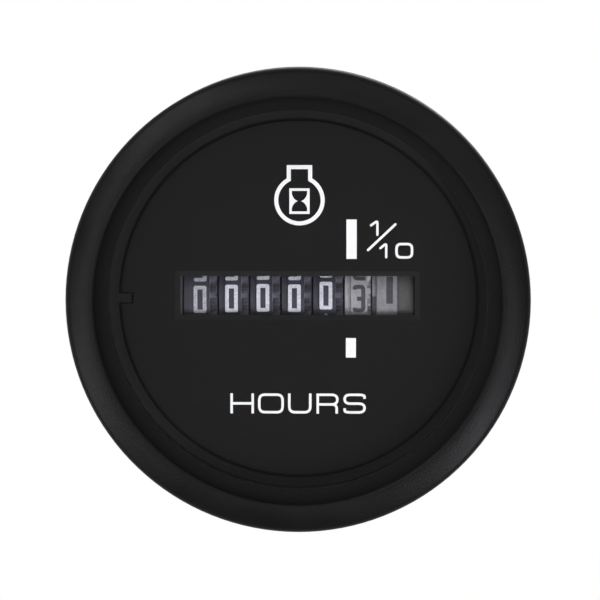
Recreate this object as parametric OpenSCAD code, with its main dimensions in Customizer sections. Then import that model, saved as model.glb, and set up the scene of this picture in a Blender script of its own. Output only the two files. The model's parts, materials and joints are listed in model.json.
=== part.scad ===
// Round panel hour meter: stepping motor, reduction train and a wheel counter behind a windowed dial.
// Millimetres. +X is to the right of the face, +Y runs into the panel and +Z is up.
// The origin lies on the barrel's axis in the plane where the bezel meets the panel.

/* [Housing] */
// Diameter of the barrel that passes through the panel
barrel_d = 52; // [50:0.5:58]
// Depth of the barrel behind the panel
barrel_depth = 42; // [42:1:60]
// Thickness of the barrel's side wall
barrel_wall = 2; // [1.6:0.1:2.4]
// Thickness of the rear wall
rear_wall = 2.5; // [2:0.1:4]
// How far the case's flange stands out past the barrel
flange_lip = 2; // [1.5:0.1:3]
// Thickness of the case's flange
flange_t = 2.5; // [1.5:0.1:2.8]
// Chamfer round the barrel's rear edge
barrel_chamfer = 1.2; // [0.5:0.1:2]

/* [Bezel and lens] */
// Height of the bezel's rim above the panel
bezel_h = 8; // [7.5:0.1:10]
// Thickness of the bezel outside the flange
bezel_wall = 1.9; // [1.2:0.1:4]
// Radius of the bezel's outer front edge
bezel_round = 1.2; // [0.6:0.1:1.6]
// Tilt of the bezel's face where it meets that edge
bezel_tilt = 22; // [10:1:35]
// Width of the concave band between the rim and the lens
band_w = 1.85; // [1.2:0.05:2]
// Depth of the concave band
band_depth = 1.95; // [1.2:0.05:2.4]
// Thickness of the lens
lens_t = 2; // [1.5:0.1:2.2]
// Thickness of the lens gasket
gasket_t = 0.4; // [0.3:0.05:0.6]

/* [Dial] */
// Distance from the lens to the dial
dial_gap = 1.75; // [1:0.05:2.5]
// Thickness of the dial plate
dial_t = 1.2; // [0.9:0.05:1.6]
// Width of the ring round the dial
ring_w = 1.35; // [1.1:0.05:2]
// Gap between the dial and the ring
dial_edge_gap = 0.3; // [0.1:0.05:0.5]
// Width of the window
window_w = 30.5; // [29:0.1:31]
// Height of the window
window_h = 5.1; // [4.8:0.1:6.6]
// Middle of the window, to the right of the dial's middle
window_x = -0.2; // [-0.4:0.1:0.2]
// Middle of the window, above the dial's middle
window_z = 0.3; // [-0.2:0.1:0.6]
// Bevel round the window
window_bevel = 0.7; // [0.3:0.05:0.9]
// Width of the locating tab
tab_w = 1.15; // [1:0.05:2]
// Reach of the locating tab into the dial
tab_reach = 1.6; // [1.2:0.05:2.5]

/* [Counter] */
// Diameter of the number wheels
wheel_d = 13.4; // [12.6:0.1:14]
// Width of a wheel's printed drum
drum_w = 2.1; // [1.9:0.05:2.2]
// Width of an hour wheel's gear
wheel_gear_w = 0.9; // [0.8:0.05:1]
// Width of a wheel's carry disc
carry_disc_w = 0.8; // [0.6:0.05:0.9]
// Gap between one wheel and the next
wheel_gap = 0.3; // [0.25:0.05:0.4]
// Width of the run wheel's carry disc
run_disc_w = 0.65; // [0.5:0.05:0.8]
// Width of the run wheel's printed drum
run_drum_w = 2.6; // [2.2:0.1:3]
// Width of the run wheel's plain collar
collar_w = 2.25; // [1.8:0.05:2.6]
// Diameter of the wheel shaft
wheel_shaft_d = 2; // [1.6:0.1:2.4]
// Diameter of the pinion shaft
pinion_shaft_d = 1.2; // [1:0.1:1.4]

/* [Frame and motor] */
// Thickness of the frame's cheeks and plates
frame_t = 1.2; // [1:0.1:1.4]
// Diameter of the reduction gears' pins
gear_pin_d = 1; // [0.8:0.1:1.2]
// Diameter of the rotor's magnet
magnet_d = 5.2; // [4.6:0.1:5.4]
// Air gap between the magnet and the stator
air_gap = 0.3; // [0.2:0.05:0.5]
// Thickness of the stator and of the coil's core
lamination_t = 1; // [0.8:0.1:1.2]
// Depth of the coil's winding
winding_t = 1; // [0.6:0.1:1.2]

/* [Electrics and mounting] */
// Thickness of the circuit board
board_t = 1.6; // [1:0.1:2]
// Diameter of the circuit board
board_d = 36; // [35:0.5:38]
// Height of the posts that carry the board
board_post_h = 4.4; // [4:0.1:8]
// Width of the blade terminals
blade_w = 6.35; // [4.8:0.05:6.35]
// Thickness of the blade terminals
blade_t = 0.8; // [0.5:0.1:1]
// Length of the blades outside the rear wall
blade_reach = 8.5; // [6:0.5:12]
// Distance between the blades
blade_pitch = 12; // [10:0.5:13]
// Diameter of the mounting studs
stud_d = 4.16; // [3:0.02:5]
// Length of the studs outside the rear wall
stud_reach = 18; // [12:1:30]
// Distance between the studs
stud_pitch = 30; // [28:0.5:32]

/* [Hidden] */
$fn = 96;
cut = 1;               // overshoot of cutting tools
slide_fit = 0.05;      // gap between pieces that slide together
pocket_fit = 0.1;      // gap in the pockets of the bezel
run_fit = 0.03;        // radial clearance of a bore on its shaft
press_gap = 0.01;      // gap in pressed and bonded seats
wheel_play = 0.05;     // end play between one hub and the next

// Radii of the housing
barrel_r = barrel_d / 2;
case_ir = barrel_r - barrel_wall;
shoulder_w = 0.75;
pocket_r = case_ir + shoulder_w;
neck_step = 0.2;
neck_or = barrel_r - neck_step;
flange_r = barrel_r + flange_lip;
bezel_pocket_r = flange_r + pocket_fit;
bezel_r = bezel_pocket_r + bezel_wall;
lens_pocket_r = neck_or + pocket_fit;
lens_r = lens_pocket_r - neck_step;
ring_or = pocket_r - slide_fit;
ring_ir = ring_or - ring_w;
view_r = ring_or - neck_step;
rim_r = view_r + band_w;
dial_r = ring_ir - dial_edge_gap;
ledge_w = 1.05;
ledge_ir = ring_ir - ledge_w;

// Levels along Y, from the bezel's rim to the rear wall
rim_edge = 0.15;
lip_t = 0.3;
lip_back = -bezel_h + rim_edge + band_depth + lip_t;
lens_front = lip_back + gasket_t;
lens_back = lens_front + lens_t;
dial_front = lens_back + dial_gap;
dial_back = dial_front + dial_t;
ledge_t = 0.55;
ring_back = dial_back + ledge_t;
wheel_clear = 0.45;
rear_inside = barrel_depth - rear_wall;
board_back = rear_inside - board_post_h;
board_front = board_back - board_t;

// Number wheels, from the ten thousands on the left to the tenths
wheel_r = wheel_d / 2;
wheel_shaft_r = wheel_shaft_d / 2;
wheel_pitch = carry_disc_w + drum_w + wheel_gear_w + wheel_gap;
wheel_axis = [dial_back + wheel_clear + wheel_r, 0];
blank_w = 1.25;
tenths_place = 5;
figures = 10;
tenths_gear_w = 0.45;
tenths_gap = 0.2;
counter_w = blank_w + tenths_place * wheel_pitch + drum_w + tenths_gear_w + tenths_gap
    + run_disc_w + run_drum_w + collar_w;
counter_shift = 0.2;
counter_x = window_x + counter_shift - counter_w / 2 + blank_w;
hub_wall = 0.9;
hub_r = wheel_shaft_r + hub_wall;
web_t = 0.7;
rim_wall = 0.9;
function drum_x(place) = counter_x + place * wheel_pitch;

// Run wheel, to the right of the tenths
run_disc_x = drum_x(tenths_place) + drum_w + tenths_gear_w + tenths_gap;
run_drum_x = run_disc_x + run_disc_w;
collar_x = run_drum_x + run_drum_w;
collar_step = 0.25;
run_gear_x = collar_x + collar_w;
run_gear_w = 1;
sleeve_wall = 0.4;
sleeve_r = wheel_shaft_r + sleeve_wall;

// Teeth: stub involutes that an eight-tooth pinion can mesh with
pressure_angle = 28;
addendum = 0.8;
dedendum = 1.05;
backlash = 0.06;
flank_steps = 2;
carry_teeth = 20;
carry_pinion_teeth = 8;
run_teeth = 40;
run_pinion_teeth = 10;
second_teeth = 48;
second_pinion_teeth = 8;
first_teeth = 60;
rotor_teeth = 8;
tip_step = 0.44;
gear_clear = 0.3;
gear_pin_r = gear_pin_d / 2;
gear_tip_r = wheel_r - tip_step;
carry_module = gear_tip_r / (carry_teeth / 2 + addendum);
run_module = gear_tip_r / (run_teeth / 2 + addendum);
run_centres = run_module * (run_teeth + run_pinion_teeth) / 2;
second_module = (run_centres - sleeve_r - gear_clear) / (second_teeth / 2 + addendum);
second_centres = second_module * (second_teeth + second_pinion_teeth) / 2;
first_module = (second_centres - gear_pin_r - gear_clear) / (first_teeth / 2 + addendum);
first_centres = first_module * (first_teeth + rotor_teeth) / 2;
carry_centres = carry_module * (carry_teeth + carry_pinion_teeth) / 2;
lock_step = 0.06;
lock_r = gear_tip_r - lock_step;

// Axes of the train as [y, z]
run_pinion_angle = -50;
second_angle = 0;
rotor_angle = 62;
pinion_axis = wheel_axis + [carry_centres, 0];
second_axis = wheel_axis + run_centres * [cos(run_pinion_angle), sin(run_pinion_angle)];
first_axis = second_axis + second_centres * [cos(second_angle), sin(second_angle)];
rotor_axis = first_axis + first_centres * [cos(rotor_angle), sin(rotor_angle)];

// Stations of the train along X
train_gap = 0.2;
train_w = 0.7;
second_gear_x = run_gear_x + run_gear_w + train_gap;
first_gear_x = second_gear_x + train_w + train_gap;
right_cheek_x = first_gear_x + train_w + gear_clear;
left_cheek_x = counter_x - blank_w - train_gap - frame_t;
pin_head_t = 0.35;
pin_head_step = 0.35;

// Carry pinions
pinion_shaft_r = pinion_shaft_d / 2;
pinion_end_gap = 0.1;
wide_tooth_share = 0.3;
pinion_hub_wall = 0.55;
pinion_hub_r = pinion_shaft_r + pinion_hub_wall;

// Stepping motor
magnet_r = magnet_d / 2;
magnet_w = 1.6;
rotor_sleeve_r = 0.9;
rotor_pin_r = 0.3;
rotor_pinion_over = 0.15;
magnet_x = second_gear_x - train_gap - magnet_w;
stator_x = magnet_x + (magnet_w - lamination_t) / 2;
stator_hole_r = magnet_r + air_gap;
stator_rim = 1.5;
stator_half = stator_hole_r + stator_rim;
arm_w = 2.4;
arm_over = 0.5;
stator_l = 12;
arm_front = rotor_axis[0] - stator_half - arm_over;
arm_back = arm_front + stator_l;
core_h = 2;
core_x = stator_x - lamination_t;
bobbin_r = 1.6;
bobbin_flange_t = 0.6;
bobbin_flange_over = 0.3;
bobbin_flange_r = bobbin_r + winding_t + bobbin_flange_over;
coil_gap = 0.3;
coil_z = rotor_axis[1] + stator_half + bobbin_flange_r + coil_gap;
bobbin_front = arm_front + arm_w + train_gap;
bobbin_back = arm_back - arm_w - train_gap;
motor_screw_r = 0.6;
motor_post_r = 1.1;
motor_screw_head_r = 1.1;
screw_head_r = 1.5;
screw_head_t = 0.8;
coil_pin_r = 0.3;
coil_pin_spread = 1.9;

// Frame
cheek_margin = 1.2;
shaft_over = 0.8;
roof_clear = 2;
roof_gap = 0.6;
plate_clear = 0.8;
frame_top = wheel_axis[1] + wheel_r + roof_clear;
rear_plate_y = pinion_axis[0] + carry_module * (carry_pinion_teeth / 2 + addendum) + plate_clear;
rear_plate_bottom = 1.5;
rear_plate_end = core_x + lamination_t / 2 - bobbin_flange_r - plate_clear;
roof_front = wheel_axis[0] - wheel_r / 2;
roof_back = arm_front - roof_gap;
frame_clear = 0.5;
rail_inset = 1.75;
rail_h = 3;
rail_low = window_h / 2 + window_bevel + rail_inset;
rail_high = rail_low + rail_h;
peg_r = 0.7;
peg_head_r = 1;
peg_head_t = 0.5;
peg_x = 12;
peg_z = rail_low + rail_h / 2;
clip_r = 2;
clip_t = 0.4;
clip_mouth = 0.7;

// Rear of the case
stud_r = stud_d / 2;
stud_head_t = 1.5;
stud_press_step = 0.4;
stud_head_step = 1.2;
stud_boss_wall = 2.4;
stud_press_r = stud_r + stud_press_step;
stud_head_r = stud_r + stud_head_step;
stud_boss_r = stud_r + stud_boss_wall;
rear_boss_h = 1.5;
blade_pad_w = 2.2;
tail_half = blade_w / 4;
board_post_r = 2.2;
board_post_place = 14;
board_post_angles = [90, 210, 330];
board_screw_r = 0.8;
board_screw_floor = 1;
board_hole_fit = 0.15;
rear_rim_w = 2.4;
rear_recess = 0.6;

PLACES = ["ten_thousands_wheel", "thousands_wheel", "hundreds_wheel", "tens_wheel", "units_wheel",
    "tenths_wheel"];
PINIONS = ["carry_pinion_1", "carry_pinion_2", "carry_pinion_3", "carry_pinion_4", "carry_pinion_5",
    "carry_pinion_6"];
SHOWN = [0, 0, 0, 0, 0, 3];

// Points of an elliptical arc
function arc(centre, rx, ry, from, to, steps = 10) =
    [for (i = [0:steps]) let (a = from + (to - from) * i / steps) centre + [rx * cos(a), ry * sin(a)]];

// Polar point
function polar(r, a) = [r * cos(a), r * sin(a)];

// Involute function in degrees for a point at radius r
function involute(r, base_r) = let (a = acos(min(1, base_r / r))) tan(a) * 180 / PI - a;

// Outline of a spur gear, with only every nth tooth if skip is over 1
function gear_outline(teeth, module_mm, phase, skip = 1) =
    let (
        pitch_r = teeth * module_mm / 2,
        base_r = pitch_r * cos(pressure_angle),
        tip_r = pitch_r + addendum * module_mm,
        root_r = pitch_r - dedendum * module_mm,
        start_r = max(root_r, base_r),
        thin = backlash / 4 / pitch_r * 180 / PI,
        half = 90 / teeth - thin + involute(pitch_r, base_r),
        flank = [for (i = [0:flank_steps]) start_r + (tip_r - start_r) * i / flank_steps],
        radii = root_r < base_r ? concat([root_r], flank) : flank,
        last = len(radii) - 1
    )
    [for (tooth = [0:skip:teeth - 1]) let (middle = phase + tooth * 360 / teeth)
        each concat(
            [for (i = [0:last]) polar(radii[i], middle - half + involute(max(radii[i], base_r), base_r))],
            [for (i = [last:-1:0]) polar(radii[i], middle + half - involute(max(radii[i], base_r), base_r))]
        )];

// Direction from one axis to another, in the plane of the gears
function mesh_angle(here, there) = atan2(there[0] - here[0], here[1] - there[1]);

// Phase of a gear that meshes with one of known phase
function mesh_phase(angle, teeth, phase, mate_teeth) =
    angle + 180 - 360 / mate_teeth * (0.5 - (angle - phase) * teeth / 360);

// Phases of the train at rest
carry_phase = 180 / carry_teeth;
carry_pinion_phase = mesh_phase(mesh_angle(wheel_axis, pinion_axis), carry_teeth, carry_phase,
    carry_pinion_teeth);
run_pinion_phase = mesh_phase(mesh_angle(wheel_axis, second_axis), run_teeth, 0, run_pinion_teeth);
second_pinion_phase = mesh_phase(mesh_angle(second_axis, first_axis), second_teeth, 0,
    second_pinion_teeth);
rotor_phase = mesh_phase(mesh_angle(first_axis, rotor_axis), first_teeth, 0, rotor_teeth);

// Solid turned about the barrel's axis from [radius, y] points
module turned(points) {
    rotate([-90, 0, 0])
        rotate_extrude()
            polygon(points);
}

// Box between two corners
module block(low, high) {
    translate(low)
        cube(high - low);
}

// Round bar along Y at x, z
module bar_y(x, z, from, to, r) {
    translate([x, from, z])
        rotate([-90, 0, 0])
            cylinder(h = to - from, r = r);
}

// Round bar along X on an axis given as [y, z]
module bar_x(axis, from, to, r) {
    translate([from, axis[0], axis[1]])
        rotate([0, 90, 0])
            cylinder(h = to - from, r = r);
}

// Flat outline of [x, y] points extruded along X on an axis given as [y, z]
module slab_x(axis, from, to, outline) {
    translate([from, axis[0], axis[1]])
        rotate([0, 90, 0])
            linear_extrude(to - from)
                polygon(outline);
}

// Plate of [y, z] points extruded along X
module plate_x(from, to, outline) {
    slab_x([0, 0], from, to, [for (p = outline) [-p[1], p[0]]]);
}

// Rounded bezel with the concave band inside its rim
module bezel() {
    crest_w = 0.25;
    crest_r = rim_r + crest_w;
    rear_chamfer = 0.4;
    face_r = bezel_r - bezel_round * (1 - sin(bezel_tilt));
    face_drop = (face_r - crest_r) * tan(bezel_tilt) / 2;
    face_steps = 6;
    face = [for (i = [0:face_steps]) let (t = i / face_steps)
        [crest_r + (face_r - crest_r) * t, -bezel_h + face_drop * t * t]];
    edge_centre = [bezel_r - bezel_round, -bezel_h + face_drop + bezel_round * cos(bezel_tilt)];
    edge = arc(edge_centre, bezel_round, bezel_round, bezel_tilt - 90, 0, 6);
    band = arc([view_r, -bezel_h + rim_edge], band_w, band_depth, 90, 0, 10);
    color([0.05, 0.05, 0.055])
        turned(concat(
            [[bezel_pocket_r, 0], [bezel_pocket_r, -flange_t - pocket_fit],
                [lens_pocket_r, -flange_t - pocket_fit], [lens_pocket_r, lip_back], [view_r, lip_back]],
            band, face, [for (i = [1:len(edge) - 1]) edge[i]],
            [[bezel_r, -rear_chamfer], [bezel_r - rear_chamfer, 0]]));
}

// Clear disc with a small bevel round its front edge
module lens() {
    bevel = 0.3;
    color([0.85, 0.9, 0.92, 0.25])
        turned([[0, lens_front], [lens_r - bevel, lens_front], [lens_r, lens_front + bevel],
            [lens_r, lens_back], [0, lens_back]]);
}

// Flat rubber ring between the lip and the lens
module lens_gasket() {
    inset = 0.3;
    color([0.03, 0.03, 0.03])
        turned([[view_r + inset, lip_back], [lens_r, lip_back], [lens_r, lens_front],
            [view_r + inset, lens_front]]);
}

// Ring that seats in the case, with a ledge for the dial and the locating tab
module dial_ring() {
    color([0.06, 0.06, 0.06]) {
        turned([[ring_ir, dial_front], [ring_or, dial_front], [ring_or, ring_back],
            [ledge_ir, ring_back], [ledge_ir, dial_back], [ring_ir, dial_back]]);
        intersection() {
            block([-dial_r - ring_w / 2, dial_front, -tab_w / 2],
                [-dial_r + tab_reach - dial_edge_gap, dial_back, tab_w / 2]);
            bar_y(0, 0, dial_front, dial_back, ring_ir + ring_w / 2);
        }
    }
}

// Pegs that hold the dial on the rails of the frame
module dial_pegs(r, from, to) {
    for (x = [-peg_x, peg_x], z = [-peg_z, peg_z])
        bar_y(x, z, from, to, r);
}

// Dial with a bevelled window and a notch for the tab
module dial_plate() {
    outer_w = window_w / 2 + window_bevel;
    outer_h = window_h / 2 + window_bevel;
    color([0.06, 0.06, 0.06]) {
        difference() {
            bar_y(0, 0, dial_front, dial_back, dial_r);
            block([window_x - window_w / 2, dial_front - cut, window_z - window_h / 2],
                [window_x + window_w / 2, dial_back + cut, window_z + window_h / 2]);
            intersection() {
                plate_x(window_x - outer_w, window_x + outer_w, [
                    [dial_front, window_z - outer_h], [dial_front, window_z + outer_h],
                    [dial_front + window_bevel, window_z + window_h / 2],
                    [dial_front + window_bevel, window_z - window_h / 2]]);
                translate([window_x, 0, window_z - outer_h])
                    linear_extrude(2 * outer_h)
                        polygon([[-outer_w, dial_front], [outer_w, dial_front],
                            [window_w / 2, dial_front + window_bevel],
                            [-window_w / 2, dial_front + window_bevel]]);
            }
            block([-dial_r - cut, dial_front - cut, -tab_w / 2 - dial_edge_gap / 2],
                [-dial_r + tab_reach, dial_back + cut, tab_w / 2 + dial_edge_gap / 2]);
        }
        dial_pegs(peg_r, dial_back, dial_back + frame_t + peg_head_t);
        dial_pegs(peg_head_r, dial_back + frame_t, dial_back + frame_t + peg_head_t);
    }
}

// Places of the two studs and the two blades
module at_studs() {
    for (side = [-1, 1])
        translate([side * stud_pitch / 2, 0, 0])
            children();
}

module at_blades() {
    for (side = [-1, 1])
        translate([side * blade_pitch / 2, 0, 0])
            children();
}

module at_board_posts() {
    for (a = board_post_angles)
        translate([board_post_place * cos(a), 0, board_post_place * sin(a)])
            children();
}

// Cup with a front pocket for the dial ring, a flange, and bosses on its rear wall
module barrel_case() {
    pad = blade_pad_w;
    recess_r = barrel_r - barrel_chamfer - rear_rim_w;
    color([0.08, 0.08, 0.085])
        difference() {
            union() {
                turned([[pocket_r, lens_back], [neck_or, lens_back], [neck_or, -flange_t],
                    [flange_r, -flange_t], [flange_r, 0], [barrel_r, 0],
                    [barrel_r, barrel_depth - barrel_chamfer], [barrel_r - barrel_chamfer, barrel_depth],
                    [recess_r, barrel_depth], [recess_r - rear_recess, barrel_depth - rear_recess],
                    [0, barrel_depth - rear_recess], [0, rear_inside], [case_ir, rear_inside],
                    [case_ir, ring_back], [pocket_r, ring_back]]);
                at_studs()
                    bar_y(0, 0, rear_inside, barrel_depth + rear_boss_h, stud_boss_r);
                at_blades()
                    block([-blade_t / 2 - pad, rear_inside, -blade_w / 2 - pad],
                        [blade_t / 2 + pad, barrel_depth + rear_boss_h, blade_w / 2 + pad]);
                at_board_posts()
                    bar_y(0, 0, board_back, rear_inside + cut, board_post_r);
            }
            at_studs()
                bar_y(0, 0, rear_inside - cut, barrel_depth + rear_boss_h + cut, stud_press_r + press_gap);
            at_blades()
                block([-blade_t / 2 - slide_fit, rear_inside - cut, -blade_w / 2 - slide_fit],
                    [blade_t / 2 + slide_fit, barrel_depth + rear_boss_h + cut, blade_w / 2 + slide_fit]);
            at_board_posts()
                bar_y(0, 0, board_back - cut, rear_inside - board_screw_floor, board_screw_r + press_gap);
        }
}

// Rail of the frame that the dial's pegs go through, from cheek to cheek
module frame_rail(low, high) {
    block([left_cheek_x, dial_back, low], [right_cheek_x + frame_t, dial_back + frame_t, high]);
}

// Room in the frame for the ledge of the dial ring
module ledge_room() {
    back = ring_back + slide_fit;
    difference() {
        bar_y(0, 0, dial_back - cut, back, barrel_r);
        bar_y(0, 0, dial_back - 2 * cut, back + cut, ledge_ir - slide_fit);
    }
}

// Frame: two cheeks, two front rails, a roof and a rear plate, with the posts of the motor
module counter_frame() {
    left_inside = left_cheek_x + frame_t;
    right_outside = right_cheek_x + frame_t;
    lowest = -sqrt(pow(case_ir - frame_clear, 2) - pow(right_outside, 2));
    rear = arm_back + cheek_margin / 2;
    color([0.1, 0.1, 0.1])
        difference() {
            union() {
                plate_x(left_cheek_x, left_inside, [
                    [dial_back, -rail_high], [dial_back, rail_high], [roof_front, frame_top],
                    [rear_plate_y + frame_t, frame_top], [rear_plate_y + frame_t, -cheek_margin * 2],
                    [roof_front, -rail_high]]);
                plate_x(right_cheek_x, right_outside, [
                    [dial_back, -rail_high], [dial_back, rail_high], [roof_front, frame_top],
                    [rear, frame_top], [rear, rotor_axis[1] - cheek_margin],
                    [first_axis[0] + first_centres / 2, lowest], [second_axis[0], lowest]]);
                frame_rail(rail_low, rail_high);
                frame_rail(-rail_high, -rail_low);
                block([left_cheek_x, roof_front, frame_top - frame_t],
                    [right_outside, roof_back, frame_top]);
                block([left_cheek_x, roof_back - frame_t, frame_top - frame_t],
                    [rear_plate_end, rear_plate_y + frame_t, frame_top]);
                block([left_cheek_x, rear_plate_y, rear_plate_bottom],
                    [rear_plate_end, rear_plate_y + frame_t, frame_top]);
                at_motor_screws(stator_x + lamination_t, right_cheek_x + frame_t / 2, motor_post_r);
            }
            bar_x(wheel_axis, left_cheek_x - cut, right_outside + cut, wheel_shaft_r + press_gap);
            bar_x(pinion_axis, left_cheek_x - cut, right_outside + cut, pinion_shaft_r + press_gap);
            bar_x(first_axis, right_cheek_x - cut, right_outside + cut, gear_pin_r + press_gap);
            bar_x(second_axis, right_cheek_x - cut, right_outside + cut, gear_pin_r + press_gap);
            bar_x(rotor_axis, right_cheek_x - cut, right_outside + cut, rotor_pin_r + press_gap);
            at_motor_screws(stator_x, right_cheek_x, motor_screw_r + press_gap);
            dial_pegs(peg_r + press_gap, dial_back - cut, dial_back + frame_t + cut);
            ledge_room();
        }
}

// Plain steel shafts that run from cheek to cheek
module wheel_shaft() {
    color([0.75, 0.76, 0.78])
        bar_x(wheel_axis, left_cheek_x - shaft_over, right_cheek_x + frame_t + shaft_over, wheel_shaft_r);
}

module pinion_shaft() {
    color([0.75, 0.76, 0.78])
        bar_x(pinion_axis, left_cheek_x - shaft_over, right_cheek_x + frame_t + shaft_over,
            pinion_shaft_r);
}

// Push-on ring with an open side
module shaft_clip(axis, x, r, outer_r) {
    difference() {
        bar_x(axis, x, x + clip_t, outer_r);
        bar_x(axis, x - cut, x + clip_t + cut, r + press_gap);
        block([x - cut, axis[0], axis[1] - r * clip_mouth],
            [x + clip_t + cut, axis[0] + outer_r + cut, axis[1] + r * clip_mouth]);
    }
}

// Clips outside the cheeks, and one at each end of the row of carry pinions
module shaft_clips() {
    row_start = drum_x(0) + drum_w + pinion_end_gap;
    color([0.5, 0.5, 0.52]) {
        for (x = [left_cheek_x - clip_t, right_cheek_x + frame_t]) {
            shaft_clip(wheel_axis, x, wheel_shaft_r, clip_r);
            shaft_clip(pinion_axis, x, pinion_shaft_r, clip_r);
        }
        for (x = [row_start - wheel_play - clip_t, run_gear_x + wheel_play])
            shaft_clip(pinion_axis, x, pinion_shaft_r, pinion_hub_r);
    }
}

// Wedge about an axis, for the notch of a carry disc
module wedge_x(axis, from, to, middle, half) {
    reach = 2 * wheel_r;
    slab_x(axis, from, to, [[0, 0], polar(reach, middle - half), polar(reach, middle),
        polar(reach, middle + half)]);
}

// Spur gear on an axis along X
module gear_x(axis, from, to, teeth, module_mm, phase, skip = 1) {
    slab_x(axis, from, to, gear_outline(teeth, module_mm, phase, skip));
}

// Locking disc with a notch that holds two driving teeth
module carry_disc(from, to, notch_angle) {
    tooth_angle = 360 / carry_teeth;
    root_r = carry_module * (carry_teeth / 2 - dedendum);
    difference() {
        bar_x(wheel_axis, from, to, lock_r);
        wedge_x(wheel_axis, from - cut, to + cut, notch_angle, 1.5 * tooth_angle);
    }
    bar_x(wheel_axis, from, to, root_r);
    intersection() {
        gear_x(wheel_axis, from, to, carry_teeth, carry_module, notch_angle + tooth_angle / 2);
        wedge_x(wheel_axis, from - cut, to + cut, notch_angle, tooth_angle);
    }
}

// Bore and side hollows of a wheel, either side of its web
module wheel_inside(from, to, web_x) {
    hollow_r = carry_module * (carry_teeth / 2 - dedendum) - rim_wall;
    for (span = [[from - cut, web_x], [web_x + web_t, to + cut]])
        difference() {
            bar_x(wheel_axis, span[0], span[1], hollow_r);
            bar_x(wheel_axis, span[0] - cut, span[1] + cut, hub_r);
        }
    bar_x(wheel_axis, from - cut * 2, to + cut * 2, wheel_shaft_r + run_fit);
}

// Angle of a carry notch when a wheel shows a figure
function notch_angle(figure) = 90 - 180 / figures - figure * 360 / figures;

// Number wheel: printed drum, gear on its right and carry disc on its left
module number_wheel(place) {
    first = place == 0;
    tenths = place == tenths_place;
    gear_w = tenths ? tenths_gear_w : wheel_gear_w;
    gap = tenths ? tenths_gap : wheel_gap;
    left = drum_x(place);
    right = left + drum_w;
    end = right + gear_w;
    start = left - (first ? blank_w : carry_disc_w);
    hub_start = first ? start - train_gap + wheel_play : start - (wheel_gap - wheel_play) / 2;
    hub_end = end + (gap - wheel_play) / 2;
    difference() {
        union() {
            bar_x(wheel_axis, first ? start : left, right, wheel_r);
            gear_x(wheel_axis, right, end, carry_teeth, carry_module, carry_phase);
            bar_x(wheel_axis, hub_start, hub_end, hub_r);
            if (!first)
                carry_disc(start, left, notch_angle(SHOWN[place]));
        }
        wheel_inside(start, end, left + (drum_w - web_t) / 2);
    }
}

module hour_wheel(place) {
    color([0.12, 0.12, 0.14])
        number_wheel(place);
}

module tenths_wheel() {
    color([0.62, 0.62, 0.62])
        number_wheel(tenths_place);
}

// Run wheel: carry disc, printed drum, plain collar and drive gear in one moulding
module run_wheel() {
    end = run_gear_x + run_gear_w;
    color([0.6, 0.6, 0.6])
        difference() {
            union() {
                carry_disc(run_disc_x, run_drum_x, notch_angle(0));
                bar_x(wheel_axis, run_drum_x, collar_x, wheel_r);
                bar_x(wheel_axis, collar_x, run_gear_x, wheel_r - collar_step);
                gear_x(wheel_axis, run_gear_x, end, run_teeth, run_module, 0);
                bar_x(wheel_axis, run_disc_x - (tenths_gap - wheel_play) / 2, end, hub_r);
                bar_x(wheel_axis, end, right_cheek_x - wheel_play, sleeve_r);
            }
            wheel_inside(run_disc_x, end, run_gear_x);
            bar_x(wheel_axis, end - cut, right_cheek_x + cut, wheel_shaft_r + run_fit);
        }
}

// Transfer pinion: every second tooth is longer, and a hub reaches to the next pinion
module carry_pinion(place) {
    tenths = place == tenths_place;
    gear_w = tenths ? tenths_gear_w : wheel_gear_w;
    gap = tenths ? tenths_gap : wheel_gap;
    from = drum_x(place) + drum_w + pinion_end_gap;
    to = from + gear_w + gap - 2 * pinion_end_gap;
    split = to - (to - from) * wide_tooth_share;
    hub_to = tenths ? run_gear_x : from + wheel_pitch - wheel_play;
    root_r = carry_module * (carry_pinion_teeth / 2 - dedendum);
    color([0.85, 0.85, 0.82])
        difference() {
            union() {
                gear_x(pinion_axis, from, split, carry_pinion_teeth, carry_module, carry_pinion_phase);
                gear_x(pinion_axis, split, to, carry_pinion_teeth, carry_module,
                    carry_pinion_phase + 360 / carry_pinion_teeth, 2);
                bar_x(pinion_axis, from, to, root_r);
                bar_x(pinion_axis, from, hub_to, pinion_hub_r);
            }
            bar_x(pinion_axis, from - cut, hub_to + cut, pinion_shaft_r + run_fit);
        }
}

// Compound gear: a large gear with a pinion on its left
module compound_gear(axis, gear_x0, teeth, gear_module, pinion_x0, pinion_teeth, pinion_module, phase) {
    color([0.9, 0.9, 0.86])
        difference() {
            union() {
                gear_x(axis, gear_x0, gear_x0 + train_w, teeth, gear_module, 0);
                gear_x(axis, pinion_x0, gear_x0, pinion_teeth, pinion_module, phase);
            }
            bar_x(axis, pinion_x0 - cut, gear_x0 + train_w + cut, gear_pin_r + run_fit);
        }
}

module reduction_gear_1() {
    compound_gear(first_axis, first_gear_x, first_teeth, first_module,
        second_gear_x - pinion_end_gap, second_pinion_teeth, second_module, second_pinion_phase);
}

module reduction_gear_2() {
    compound_gear(second_axis, second_gear_x, second_teeth, second_module,
        run_gear_x + pinion_end_gap, run_pinion_teeth, run_module, run_pinion_phase);
}

// Headed pin pressed into the right cheek
module headed_pin(axis, end, r) {
    color([0.75, 0.76, 0.78]) {
        bar_x(axis, end, right_cheek_x + frame_t, r);
        bar_x(axis, end - pin_head_t, end, r + pin_head_step);
    }
}

module reduction_pin_1() {
    headed_pin(first_axis, second_gear_x - pinion_end_gap - wheel_play, gear_pin_r);
}

module reduction_pin_2() {
    headed_pin(second_axis, run_gear_x + pinion_end_gap - wheel_play, gear_pin_r);
}

module rotor_pin() {
    headed_pin(rotor_axis, magnet_x - train_gap - wheel_play, rotor_pin_r);
}

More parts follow.
